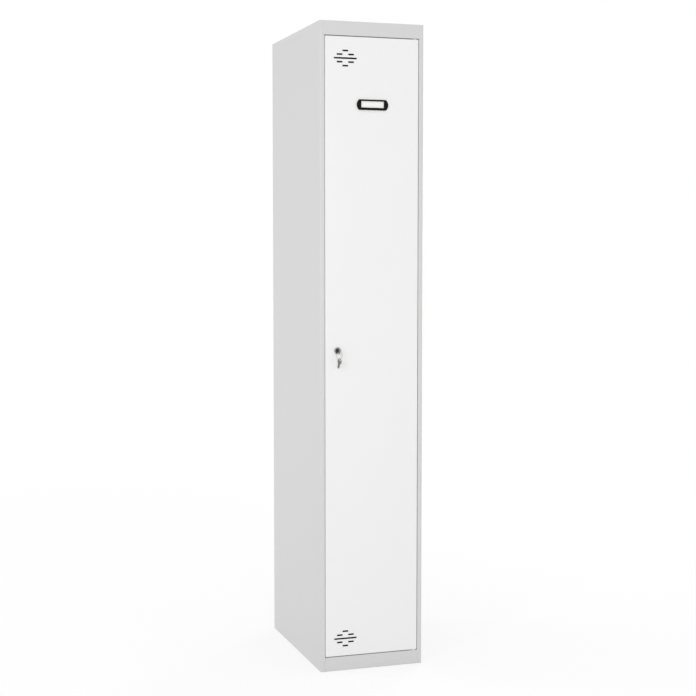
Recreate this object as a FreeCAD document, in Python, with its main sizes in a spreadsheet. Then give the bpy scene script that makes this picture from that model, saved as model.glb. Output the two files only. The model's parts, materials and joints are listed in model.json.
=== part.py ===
"""A single one-door steel clothes locker with its shelf, coat rail, cam lock, keys and label holder.

Millimetres. +X is to the right, +Z is up and the front faces -Y. The origin is on the floor, in the middle
of the width and midway between the end of the key in the lock and the back of the cabinet.
"""
import FreeCAD
import Part
import Sketcher
import math
import os
from FreeCAD import Vector

DIMENSIONS = {
    # Cabinet shell
    "body_width": 300.0,
    "body_depth": 500.0,
    "body_height": 1800.0,
    "sheet": 0.8,
    "fold_radius": 2.0,
    "front_fold_radius": 3.0,
    "stile_width": 13.0,
    "stop_depth": 20.0,
    "stop_width": 13.0,
    "rear_flange": 14.0,
    "header_height": 39.0,
    "header_inset": 5.0,
    "header_stop": 10.0,
    "plinth_height": 39.0,
    "plinth_return": 16.0,
    "panel_flange": 20.0,
    "foot_flange": 14.0,
    # Back fixing
    "wall_hole": 8.5,
    "wall_hole_spacing": 200.0,
    "wall_hole_drop": 60.0,
    "rivet_shank": 3.2,
    "rivet_head": 6.4,
    "rivet_head_height": 1.2,
    "rivet_tail": 4.6,
    "rivet_tail_height": 2.0,
    "rivet_clearance": 0.1,
    "back_rivet_margin": 90.0,
    # Hat shelf and coat rail
    "shelf_drop": 300.0,
    "shelf_setback": 6.0,
    "shelf_front": 24.0,
    "shelf_hem": 9.0,
    "rail_diameter": 16.0,
    "rail_wall": 1.2,
    "rail_drop": 48.0,
    "rail_depth": 255.0,
    "rail_end_gap": 3.2,
    "rail_cap_flange": 1.4,
    "rail_cap_plug": 8.0,
    "bracket_thickness": 2.0,
    "bracket_width": 28.0,
    "bracket_tab": 30.0,
    "bracket_below": 14.0,
    "bracket_end_gap": 5.0,
    "bracket_rivet_spacing": 14.0,
    # Door
    "latch_gap": 1.0,
    "hinge_gap": 1.5,
    "end_gap": 2.0,
    "door_depth": 16.0,
    "door_corner_radius": 3.0,
    "door_return": 12.0,
    "stiffener_width": 66.0,
    "stiffener_crown": 40.0,
    "stiffener_depth": 12.0,
    "stiffener_margin": 32.0,
    # Door pivots
    "pivot_inset": 9.0,
    "pivot_setback": 6.5,
    "pin_diameter": 6.0,
    "pin_head": 8.4,
    "pin_head_height": 2.0,
    "pin_reach": 12.0,
    "bush_wall": 1.5,
    "bush_flange": 1.0,
    "bush_flange_diameter": 11.0,
    "bush_length": 9.0,
    "pivot_plate_length": 36.0,
    "pivot_plate_thickness": 2.0,
    "running_clearance": 0.05,
    "seat_clearance": 0.1,
    # Vent slots in the door
    "vent_unit": 16.4,
    "vent_slot": 4.6,
    "vent_pitch": 10.25,
    "vent_inset": 58.0,
    "vent_top_drop": 59.0,
    "vent_bottom_rise": 49.5,
    # Label holder
    "label_width": 91.0,
    "label_height": 28.8,
    "label_bulge": 7.0,
    "label_thickness": 3.5,
    "label_round": 1.0,
    "label_window_width": 66.0,
    "label_window_height": 17.6,
    "label_window_rise": 1.1,
    "label_pocket_depth": 1.0,
    "label_card_margin": 2.5,
    "label_card_thickness": 0.6,
    "label_drop": 183.5,
    "label_peg": 4.0,
    "label_peg_length": 4.0,
    "label_peg_inset": 6.0,
    "push_nut": 8.0,
    "push_nut_thickness": 0.8,
    # Cam lock
    "lock_inset": 35.0,
    "lock_height": 900.0,
    "lock_face": 20.0,
    "lock_proud": 3.5,
    "lock_rim": 1.0,
    "lock_barrel": 16.0,
    "lock_washer_diameter": 22.0,
    "lock_washer_thickness": 1.0,
    "lock_nut_across": 21.0,
    "lock_nut_height": 4.0,
    "plug_diameter": 11.5,
    "plug_head": 13.5,
    "plug_head_height": 1.5,
    "cam_gap": 0.4,
    "cam_length": 36.0,
    "cam_width": 14.0,
    "cam_thickness": 2.0,
    "cam_square": 7.0,
    "cam_screw_shank": 4.0,
    "cam_screw_reach": 5.0,
    "cam_screw_washer": 11.0,
    "cam_screw_washer_height": 1.0,
    "cam_screw_across": 8.0,
    "cam_screw_head_height": 3.0,
    "keeper_height": 50.0,
    "keeper_thickness": 1.5,
    # Keys and their ring
    "key_thickness": 2.0,
    "key_clearance": 0.15,
    "blade_length": 11.0,
    "blade_height": 7.0,
    "blade_tip": 2.5,
    "blade_groove": 1.4,
    "blade_groove_depth": 0.5,
    "blade_groove_rise": 1.3,
    "bitting_depth": 1.6,
    "neck_length": 1.5,
    "neck_height": 9.0,
    "bow_diameter": 16.0,
    "bow_slot_length": 10.0,
    "bow_slot_width": 3.6,
    "bow_slot_wall": 2.2,
    "ring_diameter": 20.0,
    "ring_wire": 1.3,
    "ring_sweep": 356.0,
    "ring_clearance": 0.3,
    "ring_turn": 20.0,
    "ring_side_room": 0.4,
    "spare_key_turn": 18.0,
    "spare_key_tilt": 17.5,
    # Rubber buffers in the stop lip
    "buffer_diameter": 8.0,
    "buffer_gap": 0.3,
    "buffer_stem": 4.0,
    "buffer_bead": 5.6,
    "buffer_bead_height": 1.5,
    "buffer_margin": 200.0,
}

BACK_RIVETS_PER_SIDE = 5
BITTING_CUTS = 4
BITTING_DEPTHS = (0.6, 1.0, 0.4, 0.8)


class Size:
    """A dimension that holds its number and the formula that binds it to the sheet."""

    def __init__(self, number, formula=None):
        self.number = float(number)
        self.formula = formula or "(%r)" % self.number

    def joined(self, other, sign, number):
        return Size(number, "(%s %s %s)" % (self.formula, sign, other.formula))

    def __add__(self, other):
        other = as_size(other)
        return self.joined(other, "+", self.number + other.number)

    def __sub__(self, other):
        other = as_size(other)
        return self.joined(other, "-", self.number - other.number)

    def __mul__(self, other):
        other = as_size(other)
        return self.joined(other, "*", self.number * other.number)

    def __truediv__(self, other):
        other = as_size(other)
        return self.joined(other, "/", self.number / other.number)

    def __radd__(self, other):
        return as_size(other) + self

    def __rsub__(self, other):
        return as_size(other) - self

    def __rmul__(self, other):
        return as_size(other) * self

    def __neg__(self):
        return 0 - self


def as_size(value):
    return value if isinstance(value, Size) else Size(value)


doc = FreeCAD.newDocument("Locker")
sizes_sheet = doc.addObject("Spreadsheet::Sheet", "Sizes")
for row, (alias, value) in enumerate(DIMENSIONS.items(), start=1):
    sizes_sheet.set("A%d" % row, alias)
    sizes_sheet.set("B%d" % row, str(value))
    sizes_sheet.setAlias("B%d" % row, alias)
doc.recompute()


class Sheet:
    """The driving dimensions by name, each as a Size bound to its cell."""

    def __getattr__(self, alias):
        return Size(DIMENSIONS[alias], "Sizes.%s" % alias)


dim = Sheet()
sub_parts = []

# Planes and lines that several pieces share
HALF_WIDTH = dim.body_width / 2
KEY_REACH = dim.lock_proud + dim.neck_length + dim.bow_diameter
FRONT = (KEY_REACH - dim.body_depth) / 2
BACK = FRONT + dim.body_depth
BACK_PANEL_FACE = dim.body_depth - dim.sheet * 2
OPENING_HALF = HALF_WIDTH - dim.stile_width
HEADER_HALF = HALF_WIDTH - dim.header_inset
HEADER_BOTTOM = dim.body_height - dim.header_height
DOOR_LEFT = dim.latch_gap - OPENING_HALF
DOOR_RIGHT = OPENING_HALF - dim.hinge_gap
DOOR_BOTTOM = dim.plinth_height + dim.end_gap
DOOR_TOP = HEADER_BOTTOM - dim.end_gap
PIVOT_X = DOOR_RIGHT - dim.pivot_inset
PIVOT_Y = FRONT + dim.pivot_setback
LOCK_X = DOOR_LEFT + dim.lock_inset
KEEPER_BACK = dim.stop_depth + dim.sheet + dim.keeper_thickness
CAM_FRONT = KEEPER_BACK + dim.cam_gap
SHELF_TOP = dim.body_height - dim.shelf_drop
RAIL_Z = SHELF_TOP - dim.rail_drop
RAIL_Y = FRONT + dim.rail_depth
LABEL_Z = DOOR_TOP - dim.label_drop
BACK_RIVET_X = HALF_WIDTH - (dim.fold_radius + dim.rear_flange) / 2


def new_body(label):
    """A body for one sub-part, whose label names its file."""
    body = doc.addObject("PartDesign::Body", label)
    body.Label = label
    sub_parts.append(body)
    return body


def sketch_on(body, plane, origin=(0, 0, 0)):
    """A sketch on one of the body's own planes; origin is in the plane's axes, the third along its normal."""
    support = [item for item in body.Origin.OriginFeatures if item.Role == plane + "_Plane"][0]
    sketch = body.newObject("Sketcher::SketchObject", body.Label + "_sketch")
    sketch.AttachmentSupport = (support, [""])
    sketch.MapMode = "FlatFace"
    for axis, value in zip("xyz", origin):
        sketch.setExpression("AttachmentOffset.Base." + axis, as_size(value).formula)
    return sketch


def bind(sketch, kind, places, value):
    """A driving constraint whose value follows the sheet."""
    value = as_size(value)
    index = sketch.addConstraint(Sketcher.Constraint(kind, *places, value.number))
    sketch.setExpression("Constraints[%d]" % index, value.formula)


def hold_point(sketch, geometry, end, point):
    """Hold one end of a geometry at a point measured from the sketch's origin."""
    for kind, value in zip(("DistanceX", "DistanceY"), point):
        value = as_size(value)
        if value.number < 0:
            bind(sketch, kind, (geometry, end, -1, 1), -value)
        else:
            bind(sketch, kind, (-1, 1, geometry, end), value)


def place(point):
    return Vector(as_size(point[0]).number, as_size(point[1]).number, 0)


def outline(sketch, points):
    """A closed outline of straight lines through the points."""
    first = sketch.GeometryCount
    count = len(points)
    for index, point in enumerate(points):
        line = Part.LineSegment(place(point), place(points[(index + 1) % count]))
        sketch.addGeometry(line, False)
    for index, point in enumerate(points):
        after = first + (index + 1) % count
        sketch.addConstraint(Sketcher.Constraint("Coincident", first + index, 2, after, 1))
        hold_point(sketch, first + index, 1, point)


def rectangle(sketch, low, high):
    outline(sketch, [low, (high[0], low[1]), high, (low[0], high[1])])


def circle(sketch, centre, diameter):
    diameter = as_size(diameter)
    round_line = Part.Circle(place(centre), Vector(0, 0, 1), diameter.number / 2)
    geometry = sketch.addGeometry(round_line, False)
    bind(sketch, "Diameter", (geometry,), diameter)
    hold_point(sketch, geometry, 3, centre)


def rounded_slot(sketch, first_centre, last_centre, width):
    """A slot with round ends between two centres on one horizontal or vertical line."""
    width = as_size(width)
    start, end = place(first_centre), place(last_centre)
    along = (end - start).normalize()
    across = Vector(-along.y, along.x, 0) * (width.number / 2)
    reach = along * (width.number / 2)
    far_end = Part.Arc(end - across, end + reach, end + across)
    near_end = Part.Arc(start + across, start - reach, start - across)
    far_arc = sketch.addGeometry(far_end, False)
    side = sketch.addGeometry(Part.LineSegment(end + across, start + across), False)
    near_arc = sketch.addGeometry(near_end, False)
    other_side = sketch.addGeometry(Part.LineSegment(start - across, end - across), False)
    for one, one_end, two, two_end in ((far_arc, 2, side, 1), (side, 2, near_arc, 1),
                                       (near_arc, 2, other_side, 1), (other_side, 2, far_arc, 1)):
        sketch.addConstraint(Sketcher.Constraint("Tangent", one, one_end, two, two_end))
    bind(sketch, "Radius", (far_arc,), width / 2)
    hold_point(sketch, far_arc, 3, last_centre)
    hold_point(sketch, near_arc, 3, first_centre)


def pad(body, sketch, length, backwards=False):
    feature = body.newObject("PartDesign::Pad", body.Label + "_pad")
    feature.Profile = sketch
    feature.setExpression("Length", as_size(length).formula)
    feature.Reversed = backwards
    doc.recompute()
    return feature


def pocket(body, sketch, length, backwards=False):
    """A cut into the body; it must take material away."""
    before = body.Shape.Volume
    feature = body.newObject("PartDesign::Pocket", body.Label + "_pocket")
    feature.Profile = sketch
    feature.setExpression("Length", as_size(length).formula)
    feature.Reversed = backwards
    doc.recompute()
    if body.Shape.Volume >= before:
        raise RuntimeError("a pocket of %s cuts nothing" % body.Label)
    return feature


def revolve(body, sketch, axis, angle=360.0):
    feature = body.newObject("PartDesign::Revolution", body.Label + "_revolution")
    feature.Profile = sketch
    feature.ReferenceAxis = (sketch, [axis])
    feature.setExpression("Angle", as_size(angle).formula)
    doc.recompute()
    return feature


def edges_where(shape, test):
    return ["Edge%d" % number for number, edge in enumerate(shape.Edges, start=1) if test(edge)]


def edges_along(shape, axis, lines):
    """The straight edges along an axis that lie on the given lines, each a pair of places on the other axes."""
    others = [name for name in "xyz" if name != axis]

    def on_a_line(edge):
        first, last = edge.Vertexes[0].Point, edge.Vertexes[-1].Point
        flat = all(abs(getattr(first, name) - getattr(last, name)) < 1e-6 for name in others)
        long_enough = abs(getattr(first, axis) - getattr(last, axis)) > 1e-6
        here = [getattr(first, name) for name in others]
        near = any(math.dist(here, [value.number for value in line]) < 1e-4 for line in lines)
        return flat and long_enough and near

    return edges_where(shape, on_a_line)


def fillet(body, radius, edges, expected=None):
    """Round the named edges of the body's last feature."""
    if not edges or (expected and len(edges) != expected):
        raise RuntimeError("%s has %d edges to round" % (body.Label, len(edges)))
    base = body.Tip
    feature = body.newObject("PartDesign::Fillet", body.Label + "_fillet")
    feature.Base = (base, edges)
    feature.setExpression("Radius", as_size(radius).formula)
    doc.recompute()
    return feature


def fold(body, axis, outer_lines, inner_lines, outer_radius):
    """Round both faces of a sheet along its folds, the inner face first so that the sheet stays whole."""
    fillet(body, outer_radius - dim.sheet, edges_along(body.Shape, axis, inner_lines))
    fillet(body, outer_radius, edges_along(body.Shape, axis, outer_lines))


def side_panel(label, side):
    """A side wall folded into the stile, jamb and stop lip in front and a flange behind."""

    def at(inward, depth):
        return (side * (HALF_WIDTH - inward), FRONT + depth)

    jamb = dim.stile_width
    lip = jamb + dim.stop_width
    lip_back = dim.stop_depth + dim.sheet
    rear = dim.body_depth - dim.sheet
    body = new_body(label)
    profile = sketch_on(body, "XY")
    outline(profile, [
        at(dim.rear_flange, dim.body_depth), at(0, dim.body_depth), at(0, 0), at(jamb, 0),
        at(jamb, dim.stop_depth), at(lip, dim.stop_depth), at(lip, lip_back), at(jamb - dim.sheet, lip_back),
        at(jamb - dim.sheet, dim.sheet), at(dim.sheet, dim.sheet), at(dim.sheet, rear),
        at(dim.rear_flange, rear)])
    pad(body, profile, dim.body_height)
    fold(body, "z", [at(0, 0)], [at(dim.sheet, dim.sheet)], dim.front_fold_radius)
    fold(body, "z",
         [at(0, dim.body_depth), at(jamb, 0), at(jamb - dim.sheet, lip_back)],
         [at(dim.sheet, rear), at(jamb - dim.sheet, dim.sheet), at(jamb, dim.stop_depth)],
         dim.fold_radius)
    # The stop lip runs only over the door opening
    below = sketch_on(body, "XY", (0, 0, dim.plinth_height))
    rectangle(below, at(jamb, dim.stop_depth - dim.fold_radius), at(lip + dim.sheet, lip_back + dim.sheet))
    pocket(body, below, dim.plinth_height)
    above = sketch_on(body, "XY", (0, 0, dim.body_height))
    rectangle(above, at(jamb, dim.stop_depth - dim.fold_radius), at(lip + dim.sheet, lip_back + dim.sheet))
    pocket(body, above, dim.header_height + dim.header_stop)
    # The stile and jamb end under the header, which reaches to the fold of the side wall
    head = sketch_on(body, "XY", (0, 0, dim.body_height))
    rectangle(head, at(dim.header_inset, -dim.sheet), at(lip, lip_back + dim.sheet))
    pocket(body, head, dim.header_height)
    foot = sketch_on(body, "XY")
    rectangle(foot, at(0, lip_back + dim.fold_radius), at(dim.foot_flange, rear - dim.fold_radius))
    pad(body, foot, dim.sheet)
    holes = sketch_on(body, "XZ", (0, 0, -BACK))
    for height in back_rivet_heights():
        circle(holes, (side * BACK_RIVET_X, height), dim.rivet_shank + dim.rivet_clearance * 2)
    pocket(body, holes, dim.sheet, backwards=True)
    if side < 0:
        stems = sketch_on(body, "XZ", (0, 0, -(FRONT + dim.stop_depth)))
        for height in buffer_heights():
            circle(stems, (BUFFER_X, height), dim.buffer_stem + dim.seat_clearance * 2)
        pocket(body, stems, dim.sheet)
    return body


BUFFER_X = dim.stop_width / 2 - OPENING_HALF


def buffer_heights():
    return [DOOR_BOTTOM + dim.buffer_margin, DOOR_TOP - dim.buffer_margin]


def back_rivet_heights():
    step = (dim.body_height - dim.back_rivet_margin * 2) / (BACK_RIVETS_PER_SIDE - 1)
    return [dim.back_rivet_margin + step * index for index in range(BACK_RIVETS_PER_SIDE)]


def back_panel():
    """A flat sheet inside the rear flanges, clear of their folds, with two holes for fixing to a wall."""
    body = new_body("back_panel")
    edge = HALF_WIDTH - dim.fold_radius
    blank = sketch_on(body, "XZ", (0, 0, -(FRONT + BACK_PANEL_FACE)))
    rectangle(blank, (-edge, 0), (edge, dim.body_height))
    pad(body, blank, dim.sheet, backwards=True)
    holes = sketch_on(body, "XZ", (0, 0, -(FRONT + BACK_PANEL_FACE)))
    for side in (-1, 1):
        circle(holes, (side * dim.wall_hole_spacing / 2, dim.body_height - dim.wall_hole_drop), dim.wall_hole)
        for height in back_rivet_heights():
            circle(holes, (side * BACK_RIVET_X, height), dim.rivet_shank + dim.rivet_clearance * 2)
    pocket(body, holes, dim.sheet)


def rivets(label, plane, centres, head_plane, grip, head_up):
    """Blind rivets: a low domed head, a shank through the grip and a pulled tail, all at the given centres.

    head_plane is measured along the plane's normal; head_up tells which way along it the heads stand.
    """
    sign = 1 if head_up else -1
    body = new_body(label)
    heads = sketch_on(body, plane, (0, 0, head_plane))
    shanks = sketch_on(body, plane, (0, 0, head_plane))
    tails = sketch_on(body, plane, (0, 0, head_plane - sign * grip))
    for centre in centres:
        circle(heads, centre, dim.rivet_head)
        circle(shanks, centre, dim.rivet_shank)
        circle(tails, centre, dim.rivet_tail)
    pad(body, heads, dim.rivet_head_height, backwards=not head_up)
    crown = {"XY": "z", "XZ": "y"}[plane]
    normal = {"XY": 1, "XZ": -1}[plane]
    top = (head_plane + sign * dim.rivet_head_height).number * normal

    def on_crown(edge):
        return all(abs(getattr(vertex.Point, crown) - top) < 1e-6 for vertex in edge.Vertexes)

    fillet(body, dim.rivet_head_height * 0.8, edges_where(body.Shape, on_crown), len(centres))
    pad(body, shanks, grip, backwards=head_up)
    pad(body, tails, dim.rivet_tail_height, backwards=head_up)


def back_rivets():
    centres = [(side * BACK_RIVET_X, height) for side in (-1, 1) for height in back_rivet_heights()]
    rivets("back_rivets", "XZ", centres, -BACK, dim.sheet * 2, head_up=False)


def widened_plate(body, top, low_depth, high_depth):
    """Let a plate reach both side walls behind the stiles, with a flange down each wall."""
    wall = HALF_WIDTH - dim.sheet
    plate = sketch_on(body, "XY", (0, 0, top))
    rectangle(plate, (-wall, FRONT + low_depth), (wall, FRONT + high_depth))
    pad(body, plate, dim.sheet, backwards=True)
    flange_start = FRONT + dim.stop_depth + dim.shelf_setback + dim.shelf_hem + dim.fold_radius
    for side in (-1, 1):
        flange = sketch_on(body, "YZ", (0, 0, side * wall))
        rectangle(flange, (flange_start, top - dim.panel_flange), (FRONT + high_depth - dim.fold_radius, top))
        pad(body, flange, dim.sheet, backwards=side > 0)


def folded_strip(body, half, outline_points, outer_lines, inner_lines):
    """A sheet profile across the locker, given as half its width, depth and height, with its folds rounded."""

    def at(point):
        return (FRONT + point[0], point[1])

    profile = sketch_on(body, "YZ", (0, 0, -half))
    outline(profile, [at(point) for point in outline_points])
    pad(body, profile, half * 2)
    fold(body, "x", [at(line) for line in outer_lines], [at(line) for line in inner_lines], dim.fold_radius)


def rear_fold(top):
    """The points of a rear flange against the back panel, from the plate's underside round to its top."""
    inside = BACK_PANEL_FACE - dim.sheet
    drop = as_size(top) - dim.panel_flange
    return [(inside, top - dim.sheet), (inside, drop), (BACK_PANEL_FACE, drop), (BACK_PANEL_FACE, top)]


def top_panel():
    """The top plate, folded down in front into the header, its return and its stop lip."""
    body = new_body("top_panel")
    top, low, gauge = dim.body_height, HEADER_BOTTOM, dim.sheet
    lip, lip_back = dim.stop_depth, dim.stop_depth + dim.sheet
    folded_strip(
        body, HEADER_HALF,
        [(0, top), (0, low), (lip, low), (lip, low - dim.header_stop), (lip_back, low - dim.header_stop),
         (lip_back, low + gauge), (gauge, low + gauge), (gauge, top - gauge)] + rear_fold(top),
        [(0, top), (0, low), (lip_back, low + gauge), (BACK_PANEL_FACE, top)],
        [(gauge, top - gauge), (gauge, low + gauge), (lip, low), (BACK_PANEL_FACE - gauge, top - gauge)])
    widened_plate(body, top, dim.front_fold_radius, BACK_PANEL_FACE - dim.fold_radius)
    # The stop lip is only as wide as the door opening
    ends = sketch_on(body, "XY", (0, 0, low + gauge))
    for side in (-1, 1):
        rectangle(ends, (side * OPENING_HALF, FRONT + lip - dim.fold_radius),
                  (side * HALF_WIDTH, FRONT + lip_back + gauge))
    pocket(body, ends, gauge + dim.header_stop)
    pin_hole(body, low + gauge)


def floor_panel():
    """The floor plate, folded down in front into the plinth and its foot fold."""
    body = new_body("floor_panel")
    top, gauge = dim.plinth_height, dim.sheet
    folded_strip(
        body, OPENING_HALF,
        [(0, top), (0, 0), (dim.plinth_return, 0), (dim.plinth_return, gauge), (gauge, gauge),
         (gauge, top - gauge)] + rear_fold(top),
        [(0, top), (0, as_size(0)), (BACK_PANEL_FACE, top)],
        [(gauge, top - gauge), (gauge, gauge), (BACK_PANEL_FACE - gauge, top - gauge)])
    widened_plate(body, top, dim.stop_depth + gauge, BACK_PANEL_FACE - dim.fold_radius)
    pin_hole(body, top)


def pin_hole(body, plate_top):
    hole = sketch_on(body, "XY", (0, 0, plate_top))
    circle(hole, (PIVOT_X, PIVOT_Y), dim.pin_diameter + dim.seat_clearance * 2)
    pocket(body, hole, dim.sheet)


def rail_rivet_centres():
    """Two rivets through each bracket's tab, side by side from front to back."""
    middle = BRACKET_LEG - dim.bracket_thickness - (dim.bracket_tab - dim.bracket_thickness) / 2
    return [(side * middle, RAIL_Y + row * dim.bracket_rivet_spacing / 2) for side in (-1, 1) for row in (-1, 1)]


BRACKET_LEG = HALF_WIDTH - dim.sheet - dim.bracket_end_gap


def hat_shelf():
    """A shelf tray with a hemmed front edge, flanges along the walls and rivet holes for the rail brackets."""
    body = new_body("hat_shelf")
    top, gauge = SHELF_TOP, dim.sheet
    near = dim.stop_depth + gauge + dim.shelf_setback
    low = top - dim.shelf_front
    folded_strip(
        body, OPENING_HALF,
        [(near, top), (near, low), (near + dim.shelf_hem, low), (near + dim.shelf_hem, low + gauge),
         (near + gauge, low + gauge), (near + gauge, top - gauge)] + rear_fold(top),
        [(near, top), (near, low), (BACK_PANEL_FACE, top)],
        [(near + gauge, top - gauge), (near + gauge, low + gauge), (BACK_PANEL_FACE - gauge, top - gauge)])
    widened_plate(body, top, near + dim.fold_radius, BACK_PANEL_FACE - dim.fold_radius)
    holes = sketch_on(body, "XY", (0, 0, top))
    for centre in rail_rivet_centres():
        circle(holes, centre, dim.rivet_shank + dim.rivet_clearance * 2)
    pocket(body, holes, gauge)


def coat_rail():
    """A round tube from wall to wall, held in the two brackets."""
    body = new_body("coat_rail")
    end = HALF_WIDTH - dim.sheet - dim.rail_end_gap
    ring = sketch_on(body, "YZ", (0, 0, -end))
    circle(ring, (RAIL_Y, RAIL_Z), dim.rail_diameter)
    circle(ring, (RAIL_Y, RAIL_Z), dim.rail_diameter - dim.rail_wall * 2)
    pad(body, ring, end * 2)


def rail_end_caps():
    """Plastic caps pushed into the ends of the rail."""
    body = new_body("rail_end_caps")
    end = HALF_WIDTH - dim.sheet - dim.rail_end_gap
    bore = dim.rail_diameter - dim.rail_wall * 2
    for side in (-1, 1):
        flange = sketch_on(body, "YZ", (0, 0, side * end))
        circle(flange, (RAIL_Y, RAIL_Z), dim.rail_diameter)
        pad(body, flange, dim.rail_cap_flange, backwards=side < 0)
        plug = sketch_on(body, "YZ", (0, 0, side * end))
        circle(plug, (RAIL_Y, RAIL_Z), bore - dim.seat_clearance * 2)
        pad(body, plug, dim.rail_cap_plug, backwards=side > 0)


def rail_brackets():
    """Two angle brackets under the shelf: a riveted tab and a leg with a hole for the rail."""
    body = new_body("rail_brackets")
    top = SHELF_TOP - dim.sheet
    low = RAIL_Z - dim.bracket_below
    near, far = RAIL_Y - dim.bracket_width / 2, RAIL_Y + dim.bracket_width / 2
    for side in (-1, 1):
        leg = side * BRACKET_LEG
        inner = side * (BRACKET_LEG - dim.bracket_thickness)
        tip = side * (BRACKET_LEG - dim.bracket_tab)
        profile = sketch_on(body, "XZ", (0, 0, -far))
        outline(profile, [(leg, top), (leg, low), (inner, low), (inner, top - dim.bracket_thickness),
                          (tip, top - dim.bracket_thickness), (tip, top)])
        pad(body, profile, dim.bracket_width)
        fillet(body, dim.bracket_thickness * 1.5, edges_along(body.Shape, "y", [(leg, top)]), 1)
        hole = sketch_on(body, "YZ", (0, 0, leg))
        circle(hole, (RAIL_Y, RAIL_Z), dim.rail_diameter + dim.seat_clearance * 2)
        pocket(body, hole, dim.bracket_thickness, backwards=side < 0)
    corners = [(y, low) for y in (near, far)]
    fillet(body, dim.bracket_below / 2, edges_along(body.Shape, "x", corners), 4)
    holes = sketch_on(body, "XY", (0, 0, top))
    for centre in rail_rivet_centres():
        circle(holes, centre, dim.rivet_shank + dim.rivet_clearance * 2)
    pocket(body, holes, dim.bracket_thickness)


def rail_rivets():
    rivets("rail_rivets", "XY", rail_rivet_centres(), SHELF_TOP, dim.sheet + dim.bracket_thickness, head_up=True)


def lock_keeper():
    """A strengthening plate on the back of the left stop lip, which the cam bears on."""
    body = new_body("lock_keeper")
    half = dim.keeper_height / 2
    plate = sketch_on(body, "XZ", (0, 0, -(FRONT + dim.stop_depth + dim.sheet)))
    rectangle(plate, (-OPENING_HALF, dim.lock_height - half),
              (dim.stop_width - OPENING_HALF, dim.lock_height + half))
    pad(body, plate, dim.keeper_thickness, backwards=True)


def door_buffers():
    """Rubber buffers: a domed pad in front of the stop lip, a stem through it and a bead behind."""
    body = new_body("door_buffers")
    lip_front = FRONT + dim.stop_depth
    height = dim.stop_depth - dim.door_depth - dim.buffer_gap
    pads = sketch_on(body, "XZ", (0, 0, -lip_front))
    stems = sketch_on(body, "XZ", (0, 0, -lip_front))
    beads = sketch_on(body, "XZ", (0, 0, -(lip_front + dim.sheet)))
    for level in buffer_heights():
        circle(pads, (BUFFER_X, level), dim.buffer_diameter)
        circle(stems, (BUFFER_X, level), dim.buffer_stem)
        circle(beads, (BUFFER_X, level), dim.buffer_bead)
    pad(body, pads, height)
    crown = (lip_front - height).number

    def on_crown(edge):
        return all(abs(vertex.Point.y - crown) < 1e-6 for vertex in edge.Vertexes)

    fillet(body, height * 0.4, edges_where(body.Shape, on_crown), 2)
    pad(body, stems, dim.sheet, backwards=True)
    pad(body, beads, dim.buffer_bead_height, backwards=True)


def turned_piece(label, half_profile):
    """A piece turned about the pivot's upright axis; the profile is radius and height."""
    body = new_body(label)
    profile = sketch_on(body, "XZ", (PIVOT_X, 0, -PIVOT_Y))
    outline(profile, half_profile)
    revolve(body, profile, "V_Axis")


def pivot_pin(label, head_seat, up):
    """A headed pin that stands on one side of a plate and reaches through it into the door."""
    pin, head = dim.pin_diameter / 2, dim.pin_head / 2
    reach = dim.sheet + dim.end_gap + dim.pin_reach
    tip_round = dim.pin_diameter / 6
    turned_piece(label, [
        (0, head_seat - up * dim.pin_head_height), (head, head_seat - up * dim.pin_head_height),
        (head, head_seat), (pin, head_seat), (pin, head_seat + up * (reach - tip_round)),
        (pin - tip_round, head_seat + up * reach), (0, head_seat + up * reach)])


def pivot_pins():
    pivot_pin("upper_pivot_pin", HEADER_BOTTOM + dim.sheet, -1)
    pivot_pin("lower_pivot_pin", dim.plinth_height - dim.sheet, 1)


def pivot_washer():
    """The washer that carries the door's weight between the floor plate and the lower bush."""
    bore = dim.pin_diameter / 2 + dim.seat_clearance
    rim = dim.bush_flange_diameter / 2
    low, high = dim.plinth_height, DOOR_BOTTOM - dim.bush_flange
    turned_piece("pivot_washer", [(bore, low), (rim, low), (rim, high), (bore, high)])


def pivot_bush(label, door_end, inward):
    """A flanged bush pressed through the door's end fold and the plate behind it."""
    bore = dim.pin_diameter / 2 + dim.running_clearance
    barrel = dim.pin_diameter / 2 + dim.bush_wall
    rim = dim.bush_flange_diameter / 2
    outside = door_end - inward * dim.bush_flange
    inside = door_end + inward * dim.bush_length
    turned_piece(label, [(bore, outside), (rim, outside), (rim, door_end), (barrel, door_end),
                         (barrel, inside), (bore, inside)])


def pivot_plate(label, door_end, inward):
    """A thick plate on the inner face of the door's end fold, bored for the bush."""
    body = new_body(label)
    face = door_end + inward * dim.sheet
    edge = DOOR_RIGHT - dim.door_corner_radius
    blank = sketch_on(body, "XY", (0, 0, face))
    rectangle(blank, (edge - dim.pivot_plate_length, FRONT + dim.fold_radius),
              (edge, FRONT + dim.door_depth - dim.sheet * 2))
    pad(body, blank, dim.pivot_plate_thickness, backwards=inward < 0)
    hole = sketch_on(body, "XY", (0, 0, face))
    circle(hole, (PIVOT_X, PIVOT_Y), bush_seat())
    pocket(body, hole, dim.pivot_plate_thickness, backwards=inward > 0)


def bush_seat():
    return dim.pin_diameter + dim.bush_wall * 2 + dim.seat_clearance * 2


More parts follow.
